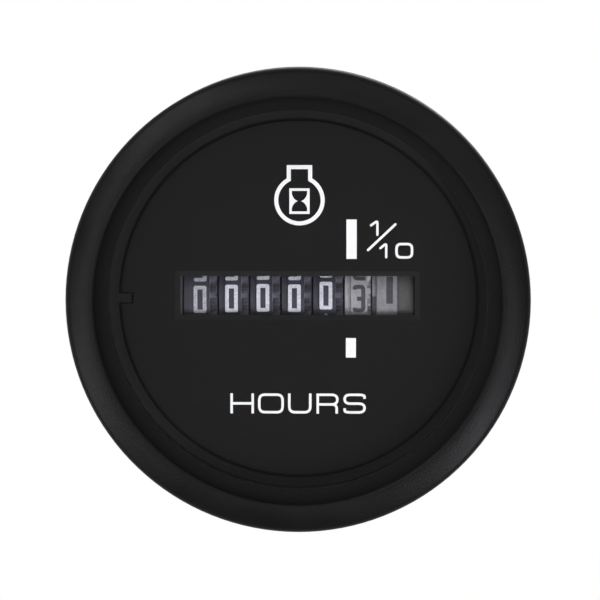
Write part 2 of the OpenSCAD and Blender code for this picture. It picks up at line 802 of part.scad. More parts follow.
// Rotor: pinion and sleeve, with the magnet on the sleeve
module rotor() {
    start = magnet_x - train_gap;
    end = first_gear_x + train_w + rotor_pinion_over;
    pinion_start = first_gear_x - rotor_pinion_over;
    color([0.88, 0.88, 0.85])
        difference() {
            union() {
                bar_x(rotor_axis, start, pinion_start, rotor_sleeve_r);
                gear_x(rotor_axis, pinion_start, end, rotor_teeth, first_module, rotor_phase);
            }
            bar_x(rotor_axis, start - cut, end + cut, rotor_pin_r + run_fit);
        }
}

module rotor_magnet() {
    color([0.2, 0.2, 0.22])
        difference() {
            bar_x(rotor_axis, magnet_x, magnet_x + magnet_w, magnet_r);
            bar_x(rotor_axis, magnet_x - cut, magnet_x + magnet_w + cut, rotor_sleeve_r + press_gap);
        }
}

// Screws at the ends of the coil's core
module at_motor_screws(from, to, r) {
    for (y = [arm_front + arm_w / 2, arm_back - arm_w / 2])
        bar_x([y, coil_z], from, to, r);
}

// Flat stator with two arms and the rotor's hole
module stator() {
    bottom = rotor_axis[1] - stator_half;
    bar_top = rotor_axis[1] + stator_half;
    top = coil_z + core_h / 2;
    right = stator_x + lamination_t;
    notch_r = 0.4;
    notch_turn = 53;
    color([0.6, 0.6, 0.62])
        difference() {
            union() {
                block([stator_x, arm_front, bottom], [right, arm_back, bar_top]);
                block([stator_x, arm_front, bottom], [right, arm_front + arm_w, top]);
                block([stator_x, arm_back - arm_w, bottom], [right, arm_back, top]);
            }
            bar_x(rotor_axis, stator_x - cut, right + cut, stator_hole_r);
            for (side = [-1, 1])
                bar_x(rotor_axis + side * polar(stator_hole_r, notch_turn), stator_x - cut, right + cut,
                    notch_r);
            at_motor_screws(stator_x - cut, right + cut, motor_screw_r + press_gap);
        }
}

module coil_core() {
    color([0.6, 0.6, 0.62])
        difference() {
            block([core_x, arm_front, coil_z - core_h / 2], [stator_x, arm_back, coil_z + core_h / 2]);
            at_motor_screws(core_x - cut, stator_x + cut, motor_screw_r + press_gap);
        }
}

module stator_screws() {
    color([0.75, 0.76, 0.78]) {
        at_motor_screws(core_x, right_cheek_x - train_gap, motor_screw_r);
        at_motor_screws(core_x - screw_head_t, core_x, motor_screw_head_r);
    }
}

// Round bar along Y on the coil's middle line
module coil_bar(from, to, r) {
    bar_y(core_x + lamination_t / 2, coil_z, from, to, r);
}

module coil_pin_places(from, to, r) {
    for (side = [-1, 1])
        bar_y(core_x + lamination_t / 2 - bobbin_r, coil_z + side * coil_pin_spread, from, to, r);
}

module coil_bobbin() {
    color([0.8, 0.75, 0.6])
        difference() {
            union() {
                coil_bar(bobbin_front, bobbin_back, bobbin_r);
                coil_bar(bobbin_front, bobbin_front + bobbin_flange_t, bobbin_flange_r);
                coil_bar(bobbin_back - bobbin_flange_t, bobbin_back, bobbin_flange_r);
            }
            block([core_x - press_gap, bobbin_front - cut, coil_z - core_h / 2 - press_gap],
                [stator_x + press_gap, bobbin_back + cut, coil_z + core_h / 2 + press_gap]);
            coil_pin_places(bobbin_back - bobbin_flange_t - cut, bobbin_back + cut, coil_pin_r + press_gap);
        }
}

module coil_winding() {
    color([0.72, 0.4, 0.2])
        difference() {
            coil_bar(bobbin_front + bobbin_flange_t, bobbin_back - bobbin_flange_t, bobbin_r + winding_t);
            coil_bar(bobbin_front, bobbin_back, bobbin_r + press_gap);
        }
}

// Solder pins from the bobbin to the board
module coil_pins() {
    color([0.8, 0.8, 0.8])
        coil_pin_places(bobbin_back - bobbin_flange_t + press_gap, board_back, coil_pin_r);
}

// Round board with slots for the blades
module circuit_board() {
    color([0.1, 0.35, 0.18])
        difference() {
            bar_y(0, 0, board_front, board_back, board_d / 2);
            at_board_posts()
                bar_y(0, 0, board_front - cut, board_back + cut, board_screw_r + board_hole_fit);
            at_blades()
                block([-blade_t / 2 - slide_fit, board_front - cut, -tail_half - slide_fit],
                    [blade_t / 2 + slide_fit, board_back + cut, tail_half + slide_fit]);
            coil_pin_places(board_front - cut, board_back + cut, coil_pin_r + press_gap);
        }
}

module board_screws() {
    color([0.75, 0.76, 0.78])
        at_board_posts() {
            bar_y(0, 0, board_front - screw_head_t, board_front, screw_head_r);
            bar_y(0, 0, board_front, rear_inside - 2 * board_screw_floor, board_screw_r);
        }
}

// Crystal in a round can that lies on the board
module quartz_crystal() {
    can_r = 1;
    can_l = 6;
    place_z = -7;
    color([0.8, 0.8, 0.82])
        translate([-can_l / 2, board_front - can_r, place_z])
            rotate([0, 90, 0])
                cylinder(h = can_l, r = can_r);
}

// Driver chip with four legs a side
module driver_chip() {
    size = [5, 1.4, 4];
    leg = [0.4, 0.6, 1];
    leg_pitch = 1.27;
    standoff = 0.1;
    bottom = 4;
    top = bottom + size[2];
    color([0.08, 0.08, 0.08]) {
        block([-size[0] / 2, board_front - standoff - size[1], bottom],
            [size[0] / 2, board_front - standoff, top]);
        for (i = [-1.5:1:1.5], z = [bottom - leg[2], top])
            block([i * leg_pitch - leg[0] / 2, board_front - leg[1], z],
                [i * leg_pitch + leg[0] / 2, board_front, z + leg[2]]);
    }
}

// Round capacitor that stands on the board
module filter_capacitor() {
    can_r = 2.5;
    can_h = 5;
    seat = 0.3;
    place_x = 9;
    place_z = 6;
    color([0.15, 0.2, 0.45])
        translate([-place_x, board_front, place_z])
            turned([[0, 0], [can_r - seat, 0], [can_r, -seat], [can_r, -can_h + seat],
                [can_r - seat, -can_h], [0, -can_h]]);
}

// Blade with a narrow tail in the board, a shoulder inside the wall and a pointed, drilled tip
module blade_terminal(side) {
    shoulder_t = 0.8;
    shoulder_over = 1;
    tip_chamfer = 1.2;
    hole_r = 0.9;
    hole_from_tip = 3.6;
    half = blade_w / 2;
    wide = half + shoulder_over;
    tip = barrel_depth + blade_reach;
    color([0.78, 0.72, 0.5])
        translate([side * blade_pitch / 2, 0, 0])
            difference() {
                plate_x(-blade_t / 2, blade_t / 2, [
                    [board_front - shoulder_t, -tail_half], [rear_inside - shoulder_t, -tail_half],
                    [rear_inside - shoulder_t, -wide], [rear_inside, -wide], [rear_inside, -half],
                    [tip - tip_chamfer, -half], [tip, -half + tip_chamfer],
                    [tip, half - tip_chamfer], [tip - tip_chamfer, half], [rear_inside, half],
                    [rear_inside, wide], [rear_inside - shoulder_t, wide],
                    [rear_inside - shoulder_t, tail_half], [board_front - shoulder_t, tail_half]]);
                bar_x([tip - hole_from_tip, 0], -blade_t, blade_t, hole_r);
            }
}

// Studs with a head inside the rear wall, a press section through it and a chamfered end
module mounting_studs() {
    boss_end = barrel_depth + rear_boss_h;
    tip = barrel_depth + stud_reach;
    chamfer = 0.6;
    color([0.8, 0.78, 0.7])
        at_studs()
            turned([[0, rear_inside - stud_head_t], [stud_head_r, rear_inside - stud_head_t],
                [stud_head_r, rear_inside], [stud_press_r, rear_inside], [stud_press_r, boss_end],
                [stud_r, boss_end], [stud_r, tip - chamfer], [stud_r - chamfer, tip], [0, tip]]);
}

bezel();
lens();
lens_gasket();
dial_ring();
dial_plate();
barrel_case();
counter_frame();
wheel_shaft();
pinion_shaft();
shaft_clips();
for (place = [0:tenths_place - 1])
    hour_wheel(place);
tenths_wheel();
run_wheel();
for (place = [0:tenths_place])
    carry_pinion(place);
reduction_gear_1();
reduction_gear_2();
reduction_pin_1();
reduction_pin_2();
rotor();
rotor_magnet();
rotor_pin();
stator();
coil_core();
coil_bobbin();
coil_winding();
coil_pins();
stator_screws();
circuit_board();
quartz_crystal();
driver_chip();
filter_capacitor();
board_screws();
blade_terminal(1);  // positive_terminal
blade_terminal(-1);  // negative_terminal
mounting_studs();
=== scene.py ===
"""Looks of a round panel hour meter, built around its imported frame, with sizes in millimetres."""

import json
import math

import bmesh
import bpy
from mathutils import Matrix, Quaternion, Vector
from mathutils.geometry import delaunay_2d_cdt


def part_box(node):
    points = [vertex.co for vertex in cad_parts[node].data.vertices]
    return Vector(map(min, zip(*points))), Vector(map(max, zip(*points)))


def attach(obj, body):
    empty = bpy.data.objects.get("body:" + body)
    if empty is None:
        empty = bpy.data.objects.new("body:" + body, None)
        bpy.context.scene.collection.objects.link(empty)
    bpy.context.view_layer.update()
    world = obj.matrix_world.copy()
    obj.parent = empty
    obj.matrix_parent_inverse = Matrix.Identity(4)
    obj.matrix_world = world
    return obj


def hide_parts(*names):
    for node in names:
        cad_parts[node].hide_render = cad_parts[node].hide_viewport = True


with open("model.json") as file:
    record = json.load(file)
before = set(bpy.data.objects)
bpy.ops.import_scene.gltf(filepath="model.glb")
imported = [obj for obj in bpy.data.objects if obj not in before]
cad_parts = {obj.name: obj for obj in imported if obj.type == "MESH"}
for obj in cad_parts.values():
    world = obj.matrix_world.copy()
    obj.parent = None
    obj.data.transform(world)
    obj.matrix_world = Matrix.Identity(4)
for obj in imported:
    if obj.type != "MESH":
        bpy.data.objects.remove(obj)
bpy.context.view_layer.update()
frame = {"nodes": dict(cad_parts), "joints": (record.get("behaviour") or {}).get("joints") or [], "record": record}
MM = 0.001

# Places where the finishes change
ROUND_FACE = (1, 0, 1)
ROUND_SHAFT = (0, 1, 1)
EDGE_BLUR = 0.1
EDGE_SHADE_FROM = 0.15
EDGE_SHADE_TO = 0.05
RIM_R = 26.5
WINDOW_REACH = 19
NOTCH_REACH = 20
# The next two radii: painted light on the wheels begins at the first and is full at the second
PAINTED_LIGHT_START_R = 6.25
PAINTED_LIGHT_FULL_R = 5.3
RING_PALE_R = 24
RING_PALE_BLUR = 0.4
DIAL_GAP = 0.3
TAB_CENTRE = (-22.45, 0, 0)
TAB_REACH = 1.1

# Colours and gloss where the finishes change, with painted shade in the gaps and painted light on the dial's
# window walls, the ring and the wheels
PAINTED_SHADE_BLACK = (0.002, 0.002, 0.002)
WINDOW_PAINTED_LIGHT = (0.0124, 0.0124, 0.0124)
RING_PAINTED_LIGHT = (0.0145, 0.0145, 0.0145)
HOUR_WHEEL_PAINTED_LIGHT = (0.13, 0.13, 0.16)
HOUR_WHEEL_ENDS_PAINTED_LIGHT = (0.4, 0.4, 0.45)
LIGHT_WHEEL_PAINTED_LIGHT = (0.6, 0.59, 0.63)
COVE_ROUGHNESS = 0.85
LENS_TINT = (0.98, 0.98, 0.98, 1)
LENS_INDEX = 1.33

# Reach of the noise in every finish
NOISE_LOW = 0.3
NOISE_HIGH = 0.7
GLOSS_CHANGE = 0.12

# Places taken from the frame
HOUR_WHEELS = ["ten_thousands_wheel", "thousands_wheel", "hundreds_wheel", "tens_wheel", "units_wheel"]
FIGURED_WHEELS = HOUR_WHEELS + ["tenths_wheel"]
joints = {joint["name"]: joint for joint in frame["joints"]}
mounts = {mount["name"]: mount for mount in frame["record"]["mounts"]}
dial_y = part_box("dial_plate")[0].y / MM
dial_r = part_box("dial_plate")[1].x / MM
wheel_y = joints["units_turn"]["pos_m"][1] / MM
wheel_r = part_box("units_wheel")[1].z / MM

# Widths along the counter, as in the part's source
wheel_pitch = (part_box("units_wheel")[0].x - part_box("tens_wheel")[0].x) / MM
DRUM_FROM_END = 1.975
RUN_END_TO_DISC = 0.075
RUN_DISC_W = 0.65
RUN_DRUM_W = 2.6
COLLAR_W = 2.03
COLLAR_STEP = 0.25
COLLAR_TURNS = 96
figure_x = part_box("units_wheel")[0].x / MM + DRUM_FROM_END
run_disc_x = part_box("run_wheel")[0].x / MM + RUN_END_TO_DISC
run_drum_x = run_disc_x + RUN_DISC_W
collar_x = run_drum_x + RUN_DRUM_W
collar_end = collar_x + COLLAR_W

# Lip of the gasket
VIEW_R = 24.5
BEAD_W = 0.35
BEAD_PROUD = 0.03
BEAD_CROWN = 0.1
BEAD_CLEAR = 0.01
BEAD_STEPS = 8
BEAD_TURNS = 192

# Printed figures of the wheels
FIGURES = 10
FIGURE_W = 1.66
FIGURE_H = 3.64
FIGURE_STROKE = 0.49
TENTHS_STROKE = 0.55
FIGURE_CORNER = 0.4
FIGURE_SHIFT = -0.21
FIGURE_SHOWN = [0, 0, 0, 0, 0, 3]
FIGURE_DRIFT = [-0.34, -0.19, -0.1, -0.14, 0.22, -0.17]
INK_SUNK = 0.01
INK_PROUD = 0.015
INK_STEP = 0.3

# Outlines of the print
HOOK_SHARE = 0.2
MITRE_LEAST = 0.5
END_CORNERS = 16
SAME_POINT = 1e-6
MERGE_REACH = 1e-4

# Printed legends of the dial
WORD = [("H", -8.9, 3.07), ("O", -5.3, 3.36), ("U", -1.4, 3.06), ("R", 2.3, 2.88), ("S", 5.8, 2.91)]
WORD_H = 2.62
WORD_Z = -15.03
WORD_STROKE = 0.33
WORD_CORNER = 0.75
BARS = [(6.85, 7.69, 1.34, 5.12), (6.77, -6.44, 1.3, 2.54)]

# Camera and stage
IMAGE_PX = 600
OBJECT_PX = 463.3
OBJECT_CENTRE_PX = (298.5, 299.0)
OUTLINE_Y = -3.3
CAMERA_DISTANCE = 0.6
CAMERA_AZIMUTH = 1.5
CAMERA_ELEVATION = 4.2
FLOOR_DROP = 0.32
FLOOR_R = 0.8
FLOOR_SIDES = 64
FLOOR_GLOW = 0.7


def mixed(nodes, links, fac, low, high):
    """Colour between two colours by a node's output."""
    mix = nodes.new("ShaderNodeMix")
    mix.data_type = "RGBA"
    mix.inputs["A"].default_value = (*low, 1)
    mix.inputs["B"].default_value = (*high, 1)
    links.new(fac, mix.inputs["Factor"])
    return mix.outputs["Result"]


def ranged(nodes, links, value, low, high):
    """A noise value spread over a range."""
    spread = nodes.new("ShaderNodeMapRange")
    spread.inputs["From Min"].default_value = NOISE_LOW
    spread.inputs["From Max"].default_value = NOISE_HIGH
    spread.inputs["To Min"].default_value = low
    spread.inputs["To Max"].default_value = high
    links.new(value, spread.inputs["Value"])
    return spread.outputs["Result"]


def noise(nodes, links, size, stretch=(1, 1, 1), detail=3):
    """Noise in the frame's own coordinates, with spots of a size in millimetres."""
    place = nodes.new("ShaderNodeTexCoord")
    mapping = nodes.new("ShaderNodeMapping")
    texture = nodes.new("ShaderNodeTexNoise")
    mapping.inputs["Scale"].default_value = stretch
    texture.inputs["Scale"].default_value = 1 / (size * MM)
    texture.inputs["Detail"].default_value = detail
    links.new(place.outputs["Object"], mapping.inputs["Vector"])
    links.new(mapping.outputs["Vector"], texture.inputs["Vector"])
    return texture.outputs["Fac"]


def material(name, colour, roughness, metallic=0, shine=0.5, grain=0.12, bump=0.1, patch=6, change=0.12,
             stretch=(1, 1, 1)):
    """Surface with a fine grain, and a slow change of colour and gloss over it."""
    made = bpy.data.materials.new(name)
    made.use_nodes = True
    nodes, links = made.node_tree.nodes, made.node_tree.links
    shader = nodes["Principled BSDF"]
    shader.inputs["Metallic"].default_value = metallic
    shader.inputs["Specular IOR Level"].default_value = shine
    slow = noise(nodes, links, patch, stretch)
    fine = noise(nodes, links, grain, stretch, 2)
    darker = [c * (1 - change) for c in colour]
    lighter = [c * (1 + change) for c in colour]
    links.new(mixed(nodes, links, slow, darker, lighter), shader.inputs["Base Color"])
    glossier = roughness * (1 - GLOSS_CHANGE)
    duller = min(1, roughness * (1 + GLOSS_CHANGE))
    links.new(ranged(nodes, links, slow, glossier, duller), shader.inputs["Roughness"])
    relief = nodes.new("ShaderNodeBump")
    relief.inputs["Strength"].default_value = bump
    relief.inputs["Distance"].default_value = grain * MM
    links.new(fine, relief.inputs["Height"])
    links.new(relief.outputs["Normal"], shader.inputs["Normal"])
    return made


def radial(made, zero_at, one_at, across=ROUND_FACE, centre=(0, 0, 0)):
    """Mask that goes from zero to one between two distances in millimetres from an axis."""
    nodes, links = made.node_tree.nodes, made.node_tree.links
    place = nodes.new("ShaderNodeTexCoord")
    from_centre = nodes.new("ShaderNodeVectorMath")
    from_centre.operation = "SUBTRACT"
    from_centre.inputs[1].default_value = [c * MM for c in centre]
    flat = nodes.new("ShaderNodeVectorMath")
    flat.operation = "MULTIPLY"
    flat.inputs[1].default_value = across
    reach = nodes.new("ShaderNodeVectorMath")
    reach.operation = "LENGTH"
    mask = nodes.new("ShaderNodeMapRange")
    mask.inputs["From Min"].default_value = zero_at * MM
    mask.inputs["From Max"].default_value = one_at * MM
    links.new(place.outputs["Object"], from_centre.inputs[0])
    links.new(from_centre.outputs["Vector"], flat.inputs[0])
    links.new(flat.outputs["Vector"], reach.inputs[0])
    links.new(reach.outputs["Value"], mask.inputs["Value"])
    return mask.outputs["Result"]


def beyond(made, axis, zero_at, one_at):
    """Mask that goes from zero to one between two places in millimetres along an axis."""
    nodes, links = made.node_tree.nodes, made.node_tree.links
    place = nodes.new("ShaderNodeTexCoord")
    split = nodes.new("ShaderNodeSeparateXYZ")
    mask = nodes.new("ShaderNodeMapRange")
    mask.inputs["From Min"].default_value = zero_at * MM
    mask.inputs["From Max"].default_value = one_at * MM
    links.new(place.outputs["Object"], split.inputs["Vector"])
    links.new(split.outputs[axis], mask.inputs["Value"])
    return mask.outputs["Result"]


def combined(tree, operation, first, second):
    """Result of a sum on two values, each a node's output or a number."""
    step = tree.nodes.new("ShaderNodeMath")
    step.operation = operation
    for place, value in zip(step.inputs, (first, second)):
        if isinstance(value, bpy.types.NodeSocket):
            tree.links.new(value, place)
        else:
            place.default_value = value
    return step.outputs["Value"]


def endways(made):
    """Mask that is one on the faces that look along the wheel shaft."""
    nodes, links = made.node_tree.nodes, made.node_tree.links
    surface = nodes.new("ShaderNodeNewGeometry")
    split = nodes.new("ShaderNodeSeparateXYZ")
    links.new(surface.outputs["Normal"], split.inputs["Vector"])
    return combined(made.node_tree, "POWER", split.outputs["X"], 2)


def both(made, first, second):
    """Mask that is one where two masks are."""
    return combined(made.node_tree, "MULTIPLY", first, second)


def shown(tree, share):
    """One for the camera's own rays, and a share of that for what gloss and glass show."""
    rays = tree.nodes.new("ShaderNodeLightPath")
    through = combined(tree, "MAXIMUM", rays.outputs["Is Glossy Ray"], rays.outputs["Is Transmission Ray"])
    shared = combined(tree, "MULTIPLY", through, share)
    return combined(tree, "MAXIMUM", rays.outputs["Is Camera Ray"], shared)


def painted(made, mask, colour):
    """Give a finish another colour where a mask is one."""
    nodes, links = made.node_tree.nodes, made.node_tree.links
    shader = nodes["Principled BSDF"]
    blend = nodes.new("ShaderNodeMix")
    blend.data_type = "RGBA"
    blend.inputs["B"].default_value = (*colour, 1)
    links.new(mask, blend.inputs["Factor"])
    links.new(shader.inputs["Base Color"].links[0].from_socket, blend.inputs["A"])
    links.new(blend.outputs["Result"], shader.inputs["Base Color"])


def matt(made, mask, roughness):
    """Give a finish another roughness where a mask is one."""
    nodes, links = made.node_tree.nodes, made.node_tree.links
    shader = nodes["Principled BSDF"]
    blend = nodes.new("ShaderNodeMix")
    blend.inputs["B"].default_value = roughness
    links.new(mask, blend.inputs["Factor"])
    links.new(shader.inputs["Roughness"].links[0].from_socket, blend.inputs["A"])
    links.new(blend.outputs["Result"], shader.inputs["Roughness"])


def clear_material(name):
    """Clear lens that lets the lamps through to what lies behind it."""
    made = bpy.data.materials.new(name)
    made.use_nodes = True
    nodes, links = made.node_tree.nodes, made.node_tree.links
    glass = nodes["Principled BSDF"]
    glass.inputs["Base Color"].default_value = LENS_TINT
    glass.inputs["Transmission Weight"].default_value = 1
    glass.inputs["Roughness"].default_value = 0
    glass.inputs["IOR"].default_value = LENS_INDEX
    through = nodes.new("ShaderNodeBsdfTransparent")
    through.inputs["Color"].default_value = LENS_TINT
    rays = nodes.new("ShaderNodeLightPath")
    mix = nodes.new("ShaderNodeMixShader")
    links.new(rays.outputs["Is Shadow Ray"], mix.inputs["Fac"])
    links.new(glass.outputs["BSDF"], mix.inputs[1])
    links.new(through.outputs["BSDF"], mix.inputs[2])
    links.new(mix.outputs["Shader"], nodes["Material Output"].inputs["Surface"])
    return made


# Finishes of the frame's material slots
FINISHES = {
    "bezel_plastic": material("bezel_black", (0.003, 0.003, 0.0031), 0.36, shine=0.062, grain=0.25,
                              bump=0.12),
    "lens_clear": clear_material("lens_clear"),
    "gasket_rubber": material("gasket_black", (0.016, 0.016, 0.016), 0.75, shine=0.2, grain=0.3),
    "dial_black": material("dial_black", (0.0074, 0.0074, 0.0074), 0.8, shine=0.06, grain=0.1,
                           bump=0.05),
    "case_plastic": material("case_black", (0.009, 0.009, 0.0095), 0.5, shine=0.2, grain=0.2, bump=0.2,
                             patch=15),
    "frame_plastic": material("frame_grey", (0.03, 0.03, 0.032), 0.55, grain=0.2),
    "bright_steel": material("bright_steel", (0.62, 0.63, 0.65), 0.28, 1, stretch=(0.05, 1, 1), bump=0.05),
    "light_wheel_plastic": material("light_wheel", (0.3, 0.295, 0.32), 0.55, shine=0.3, change=0.3,
                                    patch=0.6),
    "hour_wheel_plastic": material("hour_wheel", (0.026, 0.026, 0.038), 0.5, shine=0.4, change=0.5, patch=1),
    "gear_plastic": material("gear_white", (0.72, 0.7, 0.64), 0.45),
    "magnet_ferrite": material("magnet_grey", (0.05, 0.05, 0.055), 0.5, grain=0.3, bump=0.3),
    "lamination_steel": material("lamination_steel", (0.42, 0.42, 0.43), 0.38, 1, stretch=(1, 0.1, 1)),
    "bobbin_plastic": material("bobbin_cream", (0.6, 0.54, 0.4), 0.45),
    "enamelled_copper": material("winding_copper", (0.55, 0.2, 0.08), 0.3, 1, grain=0.1, bump=0.6,
                                 stretch=(0.1, 1, 0.1)),
    "board_laminate": material("board_green", (0.015, 0.11, 0.045), 0.35, change=0.2, patch=3),
    "can_metal": material("can_metal", (0.68, 0.68, 0.7), 0.3, 1, stretch=(0.1, 1, 1)),
    "chip_plastic": material("chip_black", (0.012, 0.012, 0.013), 0.6, grain=0.15, bump=0.3),
    "capacitor_sleeve": material("sleeve_blue", (0.03, 0.05, 0.16), 0.25),
    "terminal_brass": material("terminal_brass", (0.62, 0.5, 0.26), 0.32, 1, stretch=(1, 0.08, 1),
                               change=0.06),
    "plated_steel": material("plated_steel", (0.6, 0.58, 0.52), 0.3, 1, change=0.08, patch=2),
}

# The band inside the bezel's rim is matt
bezel_finish = FINISHES["bezel_plastic"]
matt(bezel_finish, radial(bezel_finish, RIM_R + EDGE_BLUR, RIM_R - EDGE_BLUR), COVE_ROUGHNESS)

# Painted light and shade: the dial's window walls are painted paler, a painted light on the bevels, and its outer
# edge, outer wall and notch are painted black, a painted shade in the narrow gap round it
dial_finish = FINISHES["dial_black"]
dial_sides = beyond(dial_finish, "Y", dial_y, dial_y + EDGE_BLUR)
dial_outside = radial(dial_finish, WINDOW_REACH, NOTCH_REACH)
dial_edge_shade = radial(dial_finish, dial_r - EDGE_SHADE_FROM, dial_r - EDGE_SHADE_TO)
painted(dial_finish, dial_sides, WINDOW_PAINTED_LIGHT)
painted(dial_finish, both(dial_finish, dial_sides, dial_outside), PAINTED_SHADE_BLACK)
painted(dial_finish, dial_edge_shade, PAINTED_SHADE_BLACK)

# The wheels' gears and discs are painted paler towards the shaft, a painted light against the shade in the grooves
# and in the gaps between the wheels
hour_finish = FINISHES["hour_wheel_plastic"]
light_finish = FINISHES["light_wheel_plastic"]
for finish, lighter_colour in ((hour_finish, HOUR_WHEEL_PAINTED_LIGHT), (light_finish, LIGHT_WHEEL_PAINTED_LIGHT)):
    painted(finish, radial(finish, PAINTED_LIGHT_START_R, PAINTED_LIGHT_FULL_R, ROUND_SHAFT, (0, wheel_y, 0)), lighter_colour)
# The hour wheels' end faces are painted paler still, a painted light in the gaps between the wheels
painted(hour_finish, endways(hour_finish), HOUR_WHEEL_ENDS_PAINTED_LIGHT)

# Inks
WHITE_INK = material("white_ink", (0.93, 0.93, 0.93), 0.5, shine=0.2, grain=0.06, change=0.02)
FIGURE_INK = material("figure_ink", (0.57, 0.58, 0.65), 0.5, shine=0.2, grain=0.1, change=0.5, patch=0.3)
# Ink of the first wheel's figures, painted darker as a painted shade of the window's left end
FIGURE_INK_PAINTED_SHADE = material("figure_ink_painted_shade", (0.4, 0.4, 0.44), 0.5, shine=0.2, grain=0.1, change=0.6, patch=0.3)
DARK_INK = material("dark_ink", (0.063, 0.061, 0.069), 0.55, shine=0.2, change=0.4, patch=0.4)
GREY_INK = material("grey_ink", (0.21, 0.206, 0.226), 0.55, shine=0.2, change=0.3, patch=0.5)
COLLAR_INK = material("collar_grey", (0.07, 0.07, 0.071), 0.5, shine=0.3, change=0.3, patch=0.6)
FIGURE_INKS = {"ten_thousands_wheel": FIGURE_INK_PAINTED_SHADE, "tenths_wheel": DARK_INK}

# Finishes of single nodes
FINISHES_BY_NODE = {
    "run_wheel": material("run_wheel_grey", (0.22, 0.216, 0.232), 0.55, shine=0.3, change=0.3, patch=0.6),
    "dial_ring": material("ring_black", (0.0105, 0.0105, 0.0105), 0.8, shine=0.06, grain=0.1, bump=0.05),
}

# Painted shade: the run wheel is painted black past its collar, the shade of the window's right wall, and the ring
# is painted black along its gap to the dial, round all but the tab. Painted light: the ring's outer band is
# painted paler, against the shade under the bezel's lip
run_finish = FINISHES_BY_NODE["run_wheel"]
past_collar_shade = beyond(run_finish, "X", collar_end - EDGE_BLUR / 2, collar_end + EDGE_BLUR / 2)
painted(run_finish, past_collar_shade, PAINTED_SHADE_BLACK)
ring_finish = FINISHES_BY_NODE["dial_ring"]
ring_r = dial_r + DIAL_GAP
painted(ring_finish, radial(ring_finish, RING_PALE_R, RING_PALE_R + RING_PALE_BLUR), RING_PAINTED_LIGHT)
painted(ring_finish, beyond(ring_finish, "Y", dial_y, dial_y + EDGE_BLUR), PAINTED_SHADE_BLACK)
ring_edge_shade = radial(ring_finish, ring_r + EDGE_SHADE_FROM, ring_r + EDGE_SHADE_TO)
off_tab = radial(ring_finish, TAB_REACH, TAB_REACH + EDGE_BLUR, ROUND_FACE, TAB_CENTRE)
painted(ring_finish, both(ring_finish, ring_edge_shade, off_tab), PAINTED_SHADE_BLACK)

for part in frame["record"]["subparts"]:
    for place in frame["nodes"][part["node"]].material_slots:
        place.material = FINISHES_BY_NODE.get(part["node"], FINISHES[part["material_slot"]])


def piece(name, mesh, body, finish):
    """New piece of the object that rides on a body."""
    made = bpy.data.objects.new(name, mesh)
    bpy.context.scene.collection.objects.link(made)
    mesh.materials.append(finish)
    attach(made, body)
    return made


def mesh_of(name, points, faces, smooth=False):
    """Mesh from points in millimetres, with its faces turned outwards."""
    mesh = bpy.data.meshes.new(name)
    mesh.from_pydata([[c * MM for c in p] for p in points], [], faces)
    work = bmesh.new()
    work.from_mesh(mesh)
    bmesh.ops.recalc_face_normals(work, faces=work.faces)
    for face in work.faces:
        face.smooth = smooth
    work.to_mesh(mesh)
    work.free()
    return mesh


def rounded(corners, radius, closed=False, steps=6):
    """Path through corners, with a curve in place of each one that it turns at."""
    corners = [Vector(c) for c in corners]
    count = len(corners)
    path = []
    for i, corner in enumerate(corners):
        if not closed and i in (0, count - 1):
            path.append(corner)
            continue
        before, after = corners[i - 1] - corner, corners[(i + 1) % count] - corner
        first = corner + before * min(radius / before.length, 0.5)
        last = corner + after * min(radius / after.length, 0.5)
        for k in range(steps + 1):
            t = k / steps
            path.append(first * (1 - t) ** 2 + corner * (2 * t * (1 - t)) + last * t ** 2)
    return path


def divided(path, closed):
    """The same path with points no further apart than the ink's step."""
    ends = path[1:] + path[:1] if closed else path[1:]
    fine = [] if closed else [path[-1]]
    dense = []
    for a, b in zip(path, ends):
        count = max(1, math.ceil((b - a).length / INK_STEP))
        dense += [a.lerp(b, k / count) for k in range(count)]
    return dense + fine


def stroke(path, width, closed=False, round_ends=False):
    """Four-cornered faces that cover a stroke along a path, with mitred joints."""
    path = [p for i, p in enumerate(path) if i == 0 or (p - path[i - 1]).length > SAME_POINT]
    path = divided(path, closed)
    count = len(path)
    sides = []
    for i, point in enumerate(path):
        arriving = point - path[i - 1] if closed or i > 0 else path[1] - point
        leaving = path[(i + 1) % count] - point if closed or i < count - 1 else point - path[i - 1]
        arriving, leaving = arriving.normalized(), leaving.normalized()
        along = (arriving + leaving).normalized()
        reach = width / 2 / max(MITRE_LEAST, along.dot(leaving))
        across = Vector((-along.y, along.x)) * reach
        sides.append((point + across, point - across))
    pairs = list(zip(sides, sides[1:] + sides[:1] if closed else sides[1:]))
    faces = [[a[0], a[1], b[1], b[0]] for a, b in pairs]
    if round_ends:
        turns = [k * math.tau / END_CORNERS for k in range(END_CORNERS)]
        for end in (path[0], path[-1]):
            faces.append([end + Vector((math.cos(t), math.sin(t))) * width / 2 for t in turns])
    return faces


def jointed(path, width, closed):
    """Faces that cover a stroke with sharp inner corners, and round ends and outer corners."""
    ends = path[1:] + path[:1] if closed else path[1:]
    faces = []
    for start, end in zip(path, ends):
        faces += stroke([Vector(start), Vector(end)], width, round_ends=True)
    return faces


